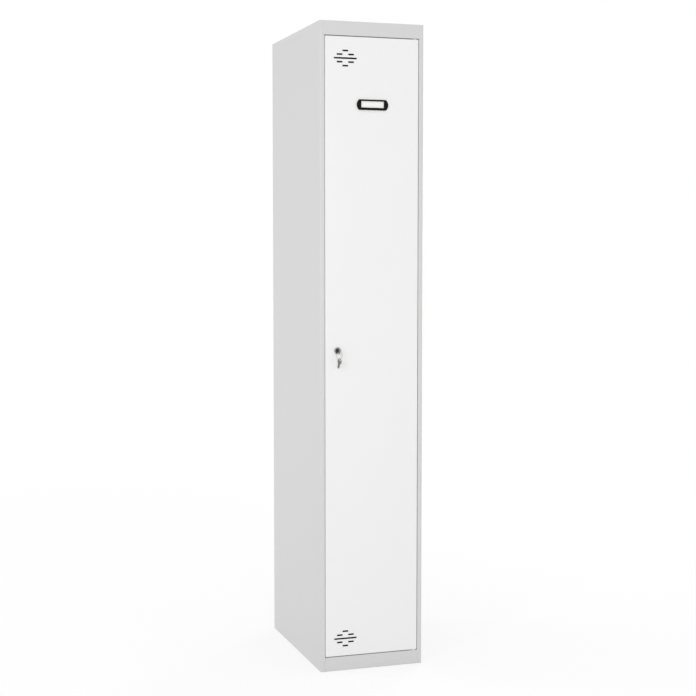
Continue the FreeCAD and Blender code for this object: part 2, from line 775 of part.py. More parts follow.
def door_panel():
    """The door pan: shelled from a rounded block, with side returns, vent slots and its holes."""
    body = new_body("door_panel")
    rear = FRONT + dim.door_depth
    block = sketch_on(body, "XZ", (0, 0, -FRONT))
    rectangle(block, (DOOR_LEFT, DOOR_BOTTOM), (DOOR_RIGHT, DOOR_TOP))
    pad(body, block, dim.door_depth, backwards=True)
    corners = [(x, z) for x in (DOOR_LEFT, DOOR_RIGHT) for z in (DOOR_BOTTOM, DOOR_TOP)]
    fillet(body, dim.door_corner_radius, edges_along(body.Shape, "y", corners), 4)
    fillet(body, dim.fold_radius, edges_where(body.Shape, lambda edge: on_depth(edge, FRONT)), 8)
    rounded = body.Tip
    open_face = ["Face%d" % number for number, face in enumerate(rounded.Shape.Faces, start=1)
                 if on_depth(face, rear)]
    shell = body.newObject("PartDesign::Thickness", "door_shell")
    shell.Base = (rounded, open_face)
    shell.setExpression("Value", dim.sheet.formula)
    shell.Reversed = True
    doc.recompute()
    returns = sketch_on(body, "XZ", (0, 0, -rear))
    low, high = DOOR_BOTTOM + dim.door_corner_radius, DOOR_TOP - dim.door_corner_radius
    rectangle(returns, (DOOR_LEFT, low), (DOOR_LEFT + dim.door_return, high))
    rectangle(returns, (DOOR_RIGHT - dim.door_return, low), (DOOR_RIGHT, high))
    pad(body, returns, dim.sheet)
    cuts = sketch_on(body, "XZ", (0, 0, -FRONT))
    for middle in (DOOR_TOP - dim.vent_top_drop, DOOR_BOTTOM + dim.vent_bottom_rise):
        vent_group(cuts, DOOR_LEFT + dim.vent_inset, middle)
    circle(cuts, (LOCK_X, dim.lock_height), dim.lock_barrel + dim.seat_clearance * 2)
    for side in (-1, 1):
        circle(cuts, (side * LABEL_PEG_X, LABEL_Z), dim.label_peg + dim.seat_clearance * 2)
    pocket(body, cuts, dim.sheet)
    for end, inward in ((DOOR_TOP, -1), (DOOR_BOTTOM, 1)):
        hole = sketch_on(body, "XY", (0, 0, end))
        circle(hole, (PIVOT_X, PIVOT_Y), bush_seat())
        pocket(body, hole, dim.sheet, backwards=inward > 0)


def on_depth(item, depth):
    """Whether all corners of an edge or face lie on an upright plane across the locker."""
    return all(abs(vertex.Point.y - depth.number) < 1e-6 for vertex in item.Vertexes)


def vent_group(sketch, centre_x, centre_z):
    """Five rows of square-ended slots: one, two, one long, two and one, on a common unit of length."""
    unit, half = dim.vent_unit, dim.vent_slot / 2
    short = unit / 2
    rows = [[(0, short)], [(-1, short), (1, short)], [(0, unit * 2)], [(-1, short), (1, short)], [(0, short)]]
    for row, slots in enumerate(rows):
        z = centre_z + dim.vent_pitch * (2 - row)
        for shift, reach in slots:
            x = centre_x + unit * shift
            rectangle(sketch, (x - reach, z - half), (x + reach, z + half))


def door_stiffener():
    """A hat-section channel down the middle of the door's inner face."""
    body = new_body("door_stiffener")
    gauge = dim.sheet
    rim, crown = dim.stiffener_width / 2, dim.stiffener_crown / 2
    base = FRONT + gauge
    top = base + dim.stiffener_depth
    half = [(rim, base), (rim, base + gauge), (crown, base + gauge), (crown, top)]
    inner = [(crown - gauge, top - gauge), (crown - gauge, base)]
    points = half + [(-x, y) for x, y in reversed(half)]
    points += [(-x, y) for x, y in reversed(inner)] + inner
    profile = sketch_on(body, "XY", (0, 0, DOOR_BOTTOM + dim.stiffener_margin))
    outline(profile, points)
    pad(body, profile, DOOR_TOP - DOOR_BOTTOM - dim.stiffener_margin * 2)
    outer = [(crown, top), (-crown, top), (crown - gauge, base), (gauge - crown, base)]
    hollow = [(crown - gauge, top - gauge), (gauge - crown, top - gauge),
              (crown, base + gauge), (-crown, base + gauge)]
    fold(body, "z", outer, hollow, dim.fold_radius)


LABEL_PEG_X = dim.label_width / 2 - dim.label_peg_inset


def label_holder():
    """A moulded frame with bowed ends, a window, a pocket for the card and two pegs through the door."""
    body = new_body("label_holder")
    wide, tall = dim.label_width / 2, dim.label_height / 2
    flat = wide - dim.label_bulge
    bow = (tall * tall + dim.label_bulge * dim.label_bulge) / (dim.label_bulge * 2)
    frame = sketch_on(body, "XZ", (0, LABEL_Z, -FRONT))
    bowed_outline(frame, flat, wide, tall, bow)
    pad(body, frame, dim.label_thickness)
    face = FRONT - dim.label_thickness
    fillet(body, dim.label_round, edges_where(body.Shape, lambda edge: on_depth(edge, face)), 4)
    across, up, rise = dim.label_window_width / 2, dim.label_window_height / 2, dim.label_window_rise
    window = sketch_on(body, "XZ", (0, LABEL_Z, -FRONT))
    rectangle(window, (-across, rise - up), (across, rise + up))
    pocket(body, window, dim.label_thickness, backwards=True)
    room = sketch_on(body, "XZ", (0, LABEL_Z, -FRONT))
    margin = dim.label_card_margin + dim.seat_clearance
    rectangle(room, (-across - margin, rise - up - margin), (across + margin, rise + up + margin))
    pocket(body, room, dim.label_pocket_depth, backwards=True)
    sill = [(x, LABEL_Z + z) for x in (-across, across) for z in (rise - up, rise + up)]
    fillet(body, dim.label_round, edges_along(body.Shape, "y", [(x, z) for x, z in sill]), 4)
    pegs = sketch_on(body, "XZ", (0, LABEL_Z, -FRONT))
    for side in (-1, 1):
        circle(pegs, (side * LABEL_PEG_X, 0), dim.label_peg)
    pad(body, pegs, dim.label_peg_length, backwards=True)


def bowed_outline(sketch, flat, wide, tall, bow):
    """Straight top and bottom edges with an outward arc at each end."""
    corner = {(x, z): (x * flat, z * tall) for x in (-1, 1) for z in (-1, 1)}

    def arc(side):
        end = Vector(side * wide.number, 0, 0)
        return Part.Arc(place(corner[side, -side]), end, place(corner[side, side]))

    top = sketch.addGeometry(Part.LineSegment(place(corner[1, 1]), place(corner[-1, 1])), False)
    left = sketch.addGeometry(arc(-1), False)
    bottom = sketch.addGeometry(Part.LineSegment(place(corner[-1, -1]), place(corner[1, -1])), False)
    right = sketch.addGeometry(arc(1), False)
    for line, arc_end, line_end, key in ((top, (right, 2), 1, (1, 1)), (top, (left, 1), 2, (-1, 1)),
                                         (bottom, (left, 2), 1, (-1, -1)), (bottom, (right, 1), 2, (1, -1))):
        sketch.addConstraint(Sketcher.Constraint("Coincident", line, line_end, *arc_end))
        hold_point(sketch, line, line_end, corner[key])
    for end_arc in (left, right):
        bind(sketch, "Radius", (end_arc,), bow)


def label_card():
    """A blank card behind the window, lying on the door."""
    body = new_body("label_card")
    across = dim.label_window_width / 2 + dim.label_card_margin
    up = dim.label_window_height / 2 + dim.label_card_margin
    card = sketch_on(body, "XZ", (0, LABEL_Z + dim.label_window_rise, -FRONT))
    rectangle(card, (-across, -up), (across, up))
    pad(body, card, dim.label_card_thickness)


def label_push_nuts():
    """Push-on nuts that hold the label holder's pegs behind the door sheet."""
    body = new_body("label_push_nuts")
    rings = sketch_on(body, "XZ", (0, LABEL_Z, -(FRONT + dim.sheet)))
    for side in (-1, 1):
        circle(rings, (side * LABEL_PEG_X, 0), dim.push_nut)
        circle(rings, (side * LABEL_PEG_X, 0), dim.label_peg + dim.seat_clearance * 2)
    pad(body, rings, dim.push_nut_thickness, backwards=True)


def lock_turning(label, half_profile):
    """A piece turned about the lock's axis; the profile is depth behind the door's face and radius."""
    body = new_body(label)
    profile = sketch_on(body, "YZ", (FRONT, dim.lock_height, LOCK_X))
    outline(profile, half_profile)
    revolve(body, profile, "H_Axis")
    return body


def lock_housing():
    """The face ring with a bevelled rim and the barrel behind it, bored for the plug."""
    face, barrel = dim.lock_face / 2, dim.lock_barrel / 2
    bore = dim.plug_diameter / 2 + dim.running_clearance
    sink = dim.plug_head / 2 + dim.running_clearance
    proud = -dim.lock_proud
    sink_floor = proud + dim.plug_head_height + dim.running_clearance
    lock_turning("lock_housing", [
        (proud, sink), (proud, face - dim.lock_rim), (proud + dim.lock_rim, face), (0, face), (0, barrel),
        (KEEPER_BACK, barrel), (KEEPER_BACK, bore), (sink_floor, bore), (sink_floor, sink)])


def lock_washer():
    bore = dim.lock_barrel / 2 + dim.seat_clearance
    rim = dim.lock_washer_diameter / 2
    front, rear = dim.sheet, dim.sheet + dim.lock_washer_thickness
    lock_turning("lock_washer", [(front, bore), (front, rim), (rear, rim), (rear, bore)])


def hexagon(across):
    """The corners of a hexagon with two corners up and down."""
    corner = across / math.sqrt(3)
    return [(corner * math.sin(math.radians(60 * step)), corner * math.cos(math.radians(60 * step)))
            for step in range(6)]


def lock_nut():
    body = new_body("lock_nut")
    nut = sketch_on(body, "XZ", (LOCK_X, dim.lock_height, -(FRONT + dim.sheet + dim.lock_washer_thickness)))
    outline(nut, hexagon(dim.lock_nut_across))
    circle(nut, (0, 0), dim.lock_barrel + dim.seat_clearance * 2)
    pad(body, nut, dim.lock_nut_height, backwards=True)


def lock_plug():
    """The turning plug: a head in the housing's sink, the keyway, a square for the cam and a screw hole."""
    head, shaft = dim.plug_head / 2, dim.plug_diameter / 2
    proud = -dim.lock_proud
    body = lock_turning("lock_plug", [
        (proud, 0), (proud, head), (proud + dim.plug_head_height, head), (proud + dim.plug_head_height, shaft),
        (CAM_FRONT, shaft), (CAM_FRONT, 0)])
    square = sketch_on(body, "XZ", (LOCK_X, dim.lock_height, -(FRONT + CAM_FRONT)))
    half = dim.cam_square / 2
    rectangle(square, (-half, -half), (half, half))
    pad(body, square, dim.cam_thickness - dim.seat_clearance, backwards=True)
    keyway = sketch_on(body, "XZ", (LOCK_X, dim.lock_height, -(FRONT + proud)))
    wide, tall = dim.key_thickness / 2 + dim.key_clearance, dim.blade_height / 2 + dim.key_clearance
    rectangle(keyway, (-wide, -tall), (wide, tall))
    pocket(body, keyway, dim.blade_length + dim.key_clearance)
    hole = sketch_on(body, "XZ", (LOCK_X, dim.lock_height, -(FRONT + CAM_FRONT + dim.cam_thickness)))
    circle(hole, (0, 0), dim.cam_screw_shank + dim.seat_clearance * 2)
    pocket(body, hole, dim.cam_screw_reach + dim.seat_clearance, backwards=True)


def lock_cam():
    """The cam, hanging down at rest; a quarter turn carries it behind the stop lip."""
    body = new_body("lock_cam")
    blade = sketch_on(body, "XZ", (LOCK_X, dim.lock_height, -(FRONT + CAM_FRONT)))
    rounded_slot(blade, (0, 0), (0, dim.cam_width / 2 - dim.cam_length), dim.cam_width)
    pad(body, blade, dim.cam_thickness, backwards=True)
    hole = sketch_on(body, "XZ", (LOCK_X, dim.lock_height, -(FRONT + CAM_FRONT)))
    half = dim.cam_square / 2 + dim.seat_clearance
    rectangle(hole, (-half, -half), (half, half))
    pocket(body, hole, dim.cam_thickness)


def cam_screw():
    """A hexagon screw with its washer, which holds the cam on the plug's square."""
    body = new_body("cam_screw")
    seat = FRONT + CAM_FRONT + dim.cam_thickness
    washer = sketch_on(body, "XZ", (LOCK_X, dim.lock_height, -seat))
    circle(washer, (0, 0), dim.cam_screw_washer)
    pad(body, washer, dim.cam_screw_washer_height, backwards=True)
    head = sketch_on(body, "XZ", (LOCK_X, dim.lock_height, -(seat + dim.cam_screw_washer_height)))
    outline(head, hexagon(dim.cam_screw_across))
    pad(body, head, dim.cam_screw_head_height, backwards=True)
    shank = sketch_on(body, "XZ", (LOCK_X, dim.lock_height, -seat))
    circle(shank, (0, 0), dim.cam_screw_shank)
    pad(body, shank, dim.cam_screw_reach)


# The key is drawn with its shoulder at the origin, the blade along +Y and the bow towards -Y
BOW_CENTRE = -(dim.neck_length + dim.bow_diameter / 2)
BOW_SLOT = dim.bow_slot_wall + dim.bow_slot_width / 2 - dim.neck_length - dim.bow_diameter
BOW_SLOT_END = (dim.bow_slot_length - dim.bow_slot_width) / 2
RING_PLAY = dim.bow_slot_width / 2 - dim.ring_wire / 2 - dim.ring_clearance


def key(label):
    """A flat cabinet key: toothed and grooved blade, neck with a shoulder, round bow with a slot across it."""
    body = new_body(label)
    skin = -dim.key_thickness / 2
    blade = sketch_on(body, "YZ", (0, 0, skin))
    tall = dim.blade_height / 2
    pitch = (dim.blade_length - dim.blade_tip) / (BITTING_CUTS + 1)
    teeth = []
    for number, share in enumerate(BITTING_DEPTHS, start=1):
        middle = pitch * number
        floor = dim.bitting_depth * share - tall
        teeth += [(middle - pitch / 2, -tall), (middle - pitch / 5, floor), (middle + pitch / 5, floor)]
    tip = dim.blade_length
    outline(blade, [(0, tall), (0, -tall)] + teeth + [
        (pitch * (BITTING_CUTS + 0.5), -tall), (tip - dim.blade_tip, -tall), (tip, -tall / 3), (tip, tall / 3),
        (tip - dim.blade_tip, tall)])
    pad(body, blade, dim.key_thickness)
    for side in (-1, 1):
        groove = sketch_on(body, "YZ", (0, 0, side * skin))
        middle = side * dim.blade_groove_rise
        rectangle(groove, (0, middle - dim.blade_groove / 2), (tip, middle + dim.blade_groove / 2))
        pocket(body, groove, dim.blade_groove_depth, backwards=side > 0)
    neck = sketch_on(body, "YZ", (0, 0, skin))
    rectangle(neck, (-dim.neck_length - dim.bow_diameter / 4, -dim.neck_height / 2), (0, dim.neck_height / 2))
    pad(body, neck, dim.key_thickness)
    bow = sketch_on(body, "YZ", (0, 0, skin))
    circle(bow, (BOW_CENTRE, 0), dim.bow_diameter)
    pad(body, bow, dim.key_thickness)
    slot = sketch_on(body, "YZ", (0, 0, skin))
    rounded_slot(slot, (BOW_SLOT, -BOW_SLOT_END), (BOW_SLOT, BOW_SLOT_END), dim.bow_slot_width)
    pocket(body, slot, dim.key_thickness, backwards=True)
    return body


def set_place(body, position, turns=(0, 0, 0)):
    """Put a body at a position, turned by yaw, pitch and roll in degrees."""
    spots = "; ".join(as_size(value).formula for value in position)
    angles = "; ".join(as_size(value).formula for value in turns)
    body.setExpression("Placement", "placement(vector(%s); rotation(%s))" % (spots, angles))
    doc.recompute()


# The ring hangs in the lower end of the slot in the bow of the key that is in the lock
RING_RADIUS = (dim.ring_diameter - dim.ring_wire) / 2
RING_Y = FRONT - dim.lock_proud + BOW_SLOT
RING_TOP = dim.lock_height - BOW_SLOT_END - RING_PLAY
RING_CENTRE = RING_TOP - RING_RADIUS
RING_BOTTOM = RING_CENTRE - RING_RADIUS


def key_ring():
    """A wire ring, open by a hair at its right side and turned a little from the door."""
    body = new_body("key_ring")
    wire = sketch_on(body, "XY")
    circle(wire, (RING_RADIUS, 0), dim.ring_wire)
    revolve(body, wire, "V_Axis", dim.ring_sweep)
    set_place(body, (LOCK_X, RING_Y, RING_CENTRE), (dim.ring_turn, 0, 0))


def spare_key():
    """The second key, hung on the ring's lowest point by one end of the slot in its bow.

    It hangs blade down, turned a little to the left and tilted so that its weight is under the ring.
    """
    body = key("spare_key")
    lean = math.radians(dim.spare_key_tilt.number)
    swing = math.radians(dim.spare_key_turn.number)
    along = Vector(0, math.sin(lean), -math.cos(lean))
    across = Vector(0, math.cos(lean), math.sin(lean))
    upward = Vector(0, 0, 1)
    hole = along * BOW_SLOT.number + across * (BOW_SLOT_END - dim.ring_side_room).number
    hang = hole + upward * RING_PLAY.number
    turn = FreeCAD.Rotation(Vector(0, 0, 1), math.degrees(swing))
    offset = turn.multVec(hang)
    set_place(body, (LOCK_X - offset.x, RING_Y - offset.y, RING_BOTTOM - offset.z),
              (dim.spare_key_turn, 0, dim.spare_key_tilt - 90))


def build():
    side_panel("left_side_panel", -1)
    side_panel("right_side_panel", 1)
    back_panel()
    back_rivets()
    top_panel()
    floor_panel()
    hat_shelf()
    coat_rail()
    rail_end_caps()
    rail_brackets()
    rail_rivets()
    lock_keeper()
    door_buffers()
    pivot_pins()
    pivot_washer()
    door_panel()
    door_stiffener()
    pivot_plate("upper_pivot_plate", DOOR_TOP, -1)
    pivot_plate("lower_pivot_plate", DOOR_BOTTOM, 1)
    pivot_bush("upper_pivot_bush", DOOR_TOP, -1)
    pivot_bush("lower_pivot_bush", DOOR_BOTTOM, 1)
    label_holder()
    label_card()
    label_push_nuts()
    lock_housing()
    lock_washer()
    lock_nut()
    lock_plug()
    lock_cam()
    cam_screw()
    set_place(key("key"), (LOCK_X, FRONT - dim.lock_proud, dim.lock_height))
    key_ring()
    spare_key()


def check_and_write():
    """Stop on any failed object or broken shape, then write one file for each sub-part."""
    doc.recompute()
    for item in doc.Objects:
        if "Invalid" in item.State or "Error" in item.State:
            raise RuntimeError("%s failed: %s" % (item.Label, item.State))
    for body in sub_parts:
        if body.Shape.isNull() or not body.Shape.isValid():
            raise RuntimeError("%s has no valid shape" % body.Label)
    os.makedirs("parts", exist_ok=True)
    for body in sub_parts:
        body.Shape.exportStep(os.path.join("parts", body.Label + ".step"))


build()
check_and_write()
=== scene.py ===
"""The look of a one-door steel clothes locker: its finishes, its small fixings, the light and the camera.

Metres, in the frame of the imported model: +X to the right, +Z up, and the front faces -Y.
"""
import json
import math

import bpy
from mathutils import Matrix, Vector

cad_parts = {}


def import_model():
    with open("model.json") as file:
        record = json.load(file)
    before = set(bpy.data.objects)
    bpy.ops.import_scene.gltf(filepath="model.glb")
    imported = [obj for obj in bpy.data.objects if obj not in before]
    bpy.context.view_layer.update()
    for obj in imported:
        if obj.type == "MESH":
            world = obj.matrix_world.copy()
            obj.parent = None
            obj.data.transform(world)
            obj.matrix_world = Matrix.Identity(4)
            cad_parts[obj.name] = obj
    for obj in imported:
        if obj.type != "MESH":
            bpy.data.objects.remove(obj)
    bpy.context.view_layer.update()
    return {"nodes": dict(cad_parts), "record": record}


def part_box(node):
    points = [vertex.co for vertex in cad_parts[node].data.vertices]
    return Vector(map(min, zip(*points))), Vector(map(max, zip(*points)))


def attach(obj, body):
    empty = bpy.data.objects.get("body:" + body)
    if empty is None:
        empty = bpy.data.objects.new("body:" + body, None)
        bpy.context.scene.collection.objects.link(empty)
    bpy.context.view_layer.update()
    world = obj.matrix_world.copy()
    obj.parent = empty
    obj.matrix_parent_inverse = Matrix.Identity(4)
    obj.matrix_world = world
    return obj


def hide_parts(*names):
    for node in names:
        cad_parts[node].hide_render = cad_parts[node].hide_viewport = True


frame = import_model()


# Shader maths

# The colour sockets of a Mix node by number, because those for plain values have the same names
MIX_SHARE = 0
MIX_FIRST_COLOUR = 6
MIX_SECOND_COLOUR = 7
MIX_COLOUR = 2


class Socket:
    """An output in a material's node tree, so that shader maths reads as plain arithmetic."""

    def __init__(self, tree, output):
        self.tree = tree
        self.output = output

    def node(self, kind, settings=None, inputs=None, output=0):
        """Add a node, set its settings, then its input values or links, and give one of its outputs."""
        made = self.tree.nodes.new(kind)
        for name, value in (settings or {}).items():
            setattr(made, name, value)
        for key, value in (inputs or {}).items():
            if isinstance(value, Socket):
                self.tree.links.new(value.output, made.inputs[key])
            else:
                made.inputs[key].default_value = value
        return Socket(self.tree, made.outputs[output])

    def maths(self, operation, first, second):
        return self.node("ShaderNodeMath", {"operation": operation}, {0: first, 1: second})

    def __add__(self, other):
        return self.maths("ADD", self, other)

    def __radd__(self, other):
        return self.maths("ADD", other, self)

    def __mul__(self, other):
        return self.maths("MULTIPLY", self, other)

    def __rmul__(self, other):
        return self.maths("MULTIPLY", other, self)

    def feed(self, node, name):
        """Link this output to a node's input."""
        self.tree.links.new(self.output, node.inputs[name])


def noise(place, scale, detail, roughness=0.5):
    """Cloudy noise between 0 and 1, with scale patches to the metre."""
    return place.node("ShaderNodeTexNoise", None, {
        "Vector": place, "Scale": scale, "Detail": detail, "Roughness": roughness})


def stretched(place, size):
    """The coordinates scaled by size along each axis."""
    return place.node("ShaderNodeMapping", None, {"Vector": place, "Scale": size})


def between(share, shades):
    """A colour that goes from the first shade to the second with share."""
    first, second = shades
    return share.node("ShaderNodeMix", {"data_type": "RGBA"}, {
        MIX_SHARE: share, MIX_FIRST_COLOUR: (*first, 1), MIX_SECOND_COLOUR: (*second, 1)}, MIX_COLOUR)


def bumped(height, depth):
    """A surface that rises by depth where height is 1."""
    return height.node("ShaderNodeBump", None, {"Height": height, "Distance": depth, "Strength": 1.0})


def two_shaders(share, first, second):
    """A shader that goes from the first to the second with share, a socket or a number."""
    return second.node("ShaderNodeMixShader", None, {0: share, 1: first, 2: second})


def new_finish(name, **constants):
    """A material with fixed values on its shader: gives it, its shader and its object coordinates."""
    material = bpy.data.materials.new(name)
    material.use_nodes = True
    shader = material.node_tree.nodes["Principled BSDF"]
    for key, value in constants.items():
        shader.inputs[key.replace("_", " ")].default_value = value
    coordinates = material.node_tree.nodes.new("ShaderNodeTexCoord")
    return material, shader, Socket(material.node_tree, coordinates.outputs["Object"])


# Finishes

# Each paint's colour, and the share by which its clouds are darker and paler
CABINET_GREY = (0.658, 0.658, 0.658)
CABINET_CLOUD = 0.012
DOOR_WHITE = (0.87, 0.87, 0.868)
DOOR_CLOUD = 0.008
# The two shades that each other finish varies between
ZINC_SHADES = (0.36, 0.385, 0.43), (0.56, 0.55, 0.49)
# Chrome's shades sit below bare chrome's: painted shade standing in for dark surroundings reflected in it
CHROME_PAINTED_DARK_SHADES = (0.34, 0.345, 0.355), (0.5, 0.5, 0.51)
KEY_SHADES = (0.15, 0.147, 0.14), (0.37, 0.36, 0.343)
# The lock's plug is near black as painted shadow of its keyway and of the key in front of it
PLUG_PAINTED_SHADOW_SHADES = (0.03, 0.03, 0.031), (0.075, 0.075, 0.077)
RING_SHADES = (0.46, 0.455, 0.445), (0.66, 0.65, 0.63)
RIVET_SHADES = (0.34, 0.34, 0.35), (0.54, 0.54, 0.54)
MOULDING_SHADES = (0.002, 0.002, 0.0022), (0.006, 0.006, 0.0064)
CARD_SHADES = (0.92, 0.92, 0.905), (0.97, 0.97, 0.962)
RUBBER_SHADES = (0.018, 0.018, 0.018), (0.045, 0.044, 0.042)
NYLON_SHADES = (0.74, 0.73, 0.68), (0.82, 0.81, 0.77)


def powder_coat(name, colour, cloud):
    """Satin powder paint: fine orange peel, faint clouds in its shade and gloss, the sheet a little wavy."""
    material, shader, place = new_finish(name)
    peel = noise(place, scale=700, detail=2)
    clouds = noise(place, scale=7, detail=4)
    waves = noise(place, scale=2.5, detail=0)
    dark = [part * (1 - cloud) for part in colour]
    light = [min(1, part * (1 + cloud)) for part in colour]
    between(clouds, (dark, light)).feed(shader, "Base Color")
    (clouds * 0.12 + peel * 0.06 + 0.23).feed(shader, "Roughness")
    bumped(peel * 0.035 + waves, depth=0.0012).feed(shader, "Normal")
    return material


def zinc_plate(name):
    """Bright zinc: soft crystal patches, a trace of yellow and blue passivation."""
    material, shader, place = new_finish(name, Metallic=1.0)
    crystals = place.node("ShaderNodeTexVoronoi", None, {"Vector": place, "Scale": 260.0}, "Color")
    grain = crystals.node("ShaderNodeSeparateColor", None, {"Color": crystals}, "Red")
    film = noise(place, scale=55, detail=3)
    between(film, ZINC_SHADES).feed(shader, "Base Color")
    (grain * 0.14 + film * 0.12 + 0.24).feed(shader, "Roughness")
    bumped(noise(place, scale=900, detail=2), depth=0.00002).feed(shader, "Normal")
    return material


def chrome_plate(name):
    """Satin chrome with hairline scratches and smudges; its shades are kept darker than bare chrome as a
    painted dark reflection.
    """
    material, shader, place = new_finish(name, Metallic=1.0)
    hairs = noise(stretched(place, (60, 60, 4000)), scale=1, detail=3)
    smudge = noise(place, scale=90, detail=3)
    between(smudge, CHROME_PAINTED_DARK_SHADES).feed(shader, "Base Color")
    (hairs * 0.08 + smudge * 0.12 + 0.14).feed(shader, "Roughness")
    bumped(hairs, depth=0.000004).feed(shader, "Normal")
    return material


def nickel_plate(name, shades):
    """Stamped metal, nickel plated: rolled grain and handling marks."""
    material, shader, place = new_finish(name, Metallic=1.0)
    grain = noise(stretched(place, (300, 300, 5000)), scale=1, detail=2)
    marks = noise(place, scale=240, detail=4, roughness=0.6)
    between(marks, shades).feed(shader, "Base Color")
    (grain * 0.12 + marks * 0.2 + 0.14).feed(shader, "Roughness")
    bumped(grain + marks, depth=0.00001).feed(shader, "Normal")
    return material


def plain_aluminium(name):
    """Rivet alloy, dull from the press."""
    material, shader, place = new_finish(name, Metallic=1.0)
    dull = noise(place, scale=420, detail=3)
    between(dull, RIVET_SHADES).feed(shader, "Base Color")
    (dull * 0.2 + 0.3).feed(shader, "Roughness")
    bumped(dull, depth=0.00002).feed(shader, "Normal")
    return material


def black_moulding(name):
    """Glossy black plastic with the flow marks of its mould."""
    material, shader, place = new_finish(name, Specular_IOR_Level=0.12)
    flow = noise(stretched(place, (25, 60, 180)), scale=1, detail=3)
    grain = noise(place, scale=1300, detail=2)
    between(flow, MOULDING_SHADES).feed(shader, "Base Color")
    (flow * 0.1 + grain * 0.06 + 0.16).feed(shader, "Roughness")
    bumped(grain * 0.3 + flow, depth=0.00001).feed(shader, "Normal")
    return material


def blank_card(name):
    """White card with a faint fibre."""
    material, shader, place = new_finish(name)
    fibre = noise(stretched(place, (900, 900, 2600)), scale=1, detail=4, roughness=0.7)
    between(fibre, CARD_SHADES).feed(shader, "Base Color")
    (fibre * 0.15 + 0.7).feed(shader, "Roughness")
    bumped(fibre, depth=0.00002).feed(shader, "Normal")
    return material


def black_rubber(name):
    """Matt rubber with a grey bloom."""
    material, shader, place = new_finish(name)
    bloom = noise(place, scale=350, detail=4)
    between(bloom, RUBBER_SHADES).feed(shader, "Base Color")
    (bloom * 0.2 + 0.62).feed(shader, "Roughness")
    bumped(bloom, depth=0.00004).feed(shader, "Normal")
    return material


def natural_nylon(name):
    """Undyed nylon, which lets a little light in."""
    material, shader, place = new_finish(name, Subsurface_Weight=0.15, Subsurface_Scale=0.002)
    flow = noise(place, scale=300, detail=3)
    between(flow, NYLON_SHADES).feed(shader, "Base Color")
    (flow * 0.15 + 0.38).feed(shader, "Roughness")
    bumped(flow, depth=0.00003).feed(shader, "Normal")
    return material


finishes = {
    "cabinet_paint": powder_coat("cabinet_grey_paint", CABINET_GREY, CABINET_CLOUD),
    "door_paint": powder_coat("door_white_paint", DOOR_WHITE, DOOR_CLOUD),
    "zinc": zinc_plate("zinc_plate"),
    "rivet_alloy": plain_aluminium("rivet_aluminium"),
    "chrome": chrome_plate("chrome_plate"),
    "nickel": nickel_plate("nickel_plate", KEY_SHADES),
    # The plug's nearly black nickel is painted shadow standing in for the shade in its keyway
    "dark_nickel": nickel_plate("plug_painted_shadow_nickel", PLUG_PAINTED_SHADOW_SHADES),
    "black_plastic": black_moulding("black_moulding"),
    "card": blank_card("blank_card"),
    "rubber": black_rubber("black_rubber"),
    "nylon": natural_nylon("natural_nylon"),
}


def dress_nodes():
    """Give every carried-over solid the finish of its slot in the record."""
    for row in frame["record"]["subparts"]:
        slots = frame["nodes"][row["node"]].data.materials
        slots.clear()
        slots.append(finishes[row["material_slot"]])


# Small fixings

SHEET = 0.0008
QUARTER_TURN = math.pi / 2
# Turns for a piece that is modelled standing up
UPRIGHT = (0, 0, 0)
TOWARDS_BACK = (-QUARTER_TURN, 0, 0)
# A piece's crease is the angle in degrees past which its edges stay sharp

RIVET_SIDES = 24
RIVET_CREASE = 40
RIVET_SHANK = 0.0016
RIVET_HEAD = 0.0032
# The rivet's head and tail from its seat outwards: how far each ring rises, and its radius
RIVET_HEAD_RINGS = (
    (0, RIVET_HEAD), (0.0003, RIVET_HEAD), (0.00035, 0.00285), (0.0003, 0.0022), (0.0002, 0.0014),
    (0.00005, 0.001), (0, 0.0008), (-0.0007, 0.00078), (0, 0.0005), (0.0003, 0.0004))
RIVET_TAIL_RINGS = (
    (0, 0.002), (0.0003, 0.0023), (0.0009, 0.0022), (0.0005, 0.0017), (0.0002, 0.0012), (0.0001, 0.0008))
# What the rivets hold together: two sheets at the back, and the shelf with a bracket at the rail
BACK_GRIP = 2 * SHEET
BRACKET_GRIP = 0.0028
BACK_RIVETS_PER_SIDE = 5

WELD_SIDES = 20
WELD_CREASE = 60
WELD_RADIUS = 0.0027
# The weld mark's foot inside the sheet, its outer lip above it, and its rings, given as the rivet's are
WELD_FOOT = -0.00005
WELD_LIP = 0.00002
WELD_RINGS = ((0.00006, 0.0024), (0.00002, 0.0019), (0, 0.0015), (-0.00006, 0.0009))
# Each rim of the stiffener: its distance from the middle, its welds, and how far from its ends they start
RIM_OFFSET = 0.0268
RIM_WELDS = 16
RIM_END = 0.03
# Each side flange: its welds, the first one's place, the step to the next, and their drop from the top
FLANGE_WELDS = 6
FLANGE_FIRST = -0.17
FLANGE_STEP = 0.075
FLANGE_DROP = 0.011

BARREL_RADIUS = 0.008
# The thread's ridge is a square standing on its corner, with its middle just inside the barrel
THREAD_SIDES = 4
THREAD_RIDGE = 0.00045
THREAD_SINK = 0.00005
THREAD_CREASE = 20
THREAD_PITCH = 0.001
THREAD_TURNS = 14
THREAD_STEPS = 32

# The ring's wire: half its width across the ring, and half its thickness along the ring's axis
RING_WIRE = (0.00062, 0.00026)
RING_SIDES = 10
RING_CREASE = 50
RING_RADIUS = 0.00935
RING_COIL = 0.00052
RING_WINDINGS = 2
RING_STEPS = 56
RING_TURN = math.radians(20)


def pick(piece):
    """Make a piece the only one selected, and the active one."""
    bpy.ops.object.select_all(action="DESELECT")
    piece.select_set(True)
    bpy.context.view_layer.objects.active = piece


def put(piece, place, turn):
    """Move and turn a piece, both of which go into its mesh."""
    pick(piece)
    piece.location = place
    piece.rotation_euler = turn
    bpy.ops.object.transform_apply(location=True, rotation=True, scale=True)


